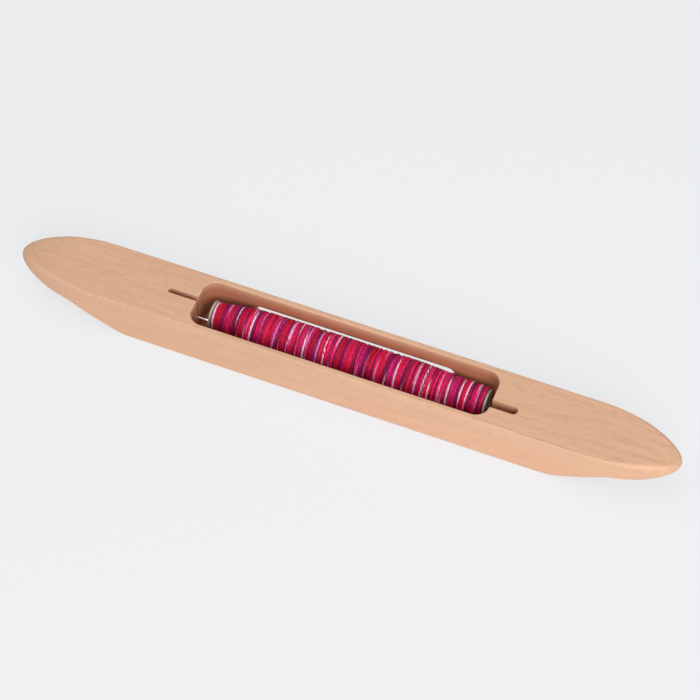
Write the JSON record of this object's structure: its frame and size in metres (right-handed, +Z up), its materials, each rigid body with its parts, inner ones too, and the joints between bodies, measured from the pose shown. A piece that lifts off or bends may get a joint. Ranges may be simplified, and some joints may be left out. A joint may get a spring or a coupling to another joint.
{
  "type": "boat shuttle",
  "caption": "Slim wooden boat shuttle for hand weaving, with a closed well, a thread window and a yarn-filled bobbin that turns on a hinged steel spindle.",
  "frame": {"origin": "middle of the flat underside, on the table", "axes": "+X along the shuttle towards its hinged end, +Y towards the thread window, +Z up"},
  "size_m": [0.38, 0.0358, 0.0289],
  "materials": {
    "beech": "fine-sanded pale beech with a thin satin oil finish",
    "steel_wire": "bright drawn steel wire",
    "bobbin_plastic": "pale warm grey moulded plastic, slightly satin",
    "yarn": "plied cotton yarn, hand-dyed from pale pink to crimson and plum"
  },
  "bodies": {
    "shuttle": {"body": "beech", "hinge_pin": "steel_wire"},
    "spindle": {"spindle": "steel_wire"},
    "bobbin": {"bobbin_tube": "bobbin_plastic", "rim_left": "bobbin_plastic", "rim_right": "bobbin_plastic", "yarn_core": "yarn", "yarn_winding": "yarn"}
  },
  "joints": [
    {"name": "spindle_lift", "type": "hinge", "parent": "shuttle", "child": "spindle", "pos_m": [0.09255, -0.00465, 0.0113], "axis": [0, 1, 0], "range_deg": [0, 11]},
    {"name": "bobbin_spin", "type": "hinge", "parent": "spindle", "child": "bobbin", "pos_m": [0, 0.0039, 0.014], "axis": [1, 0, 0], "continuous": true}
  ]
}
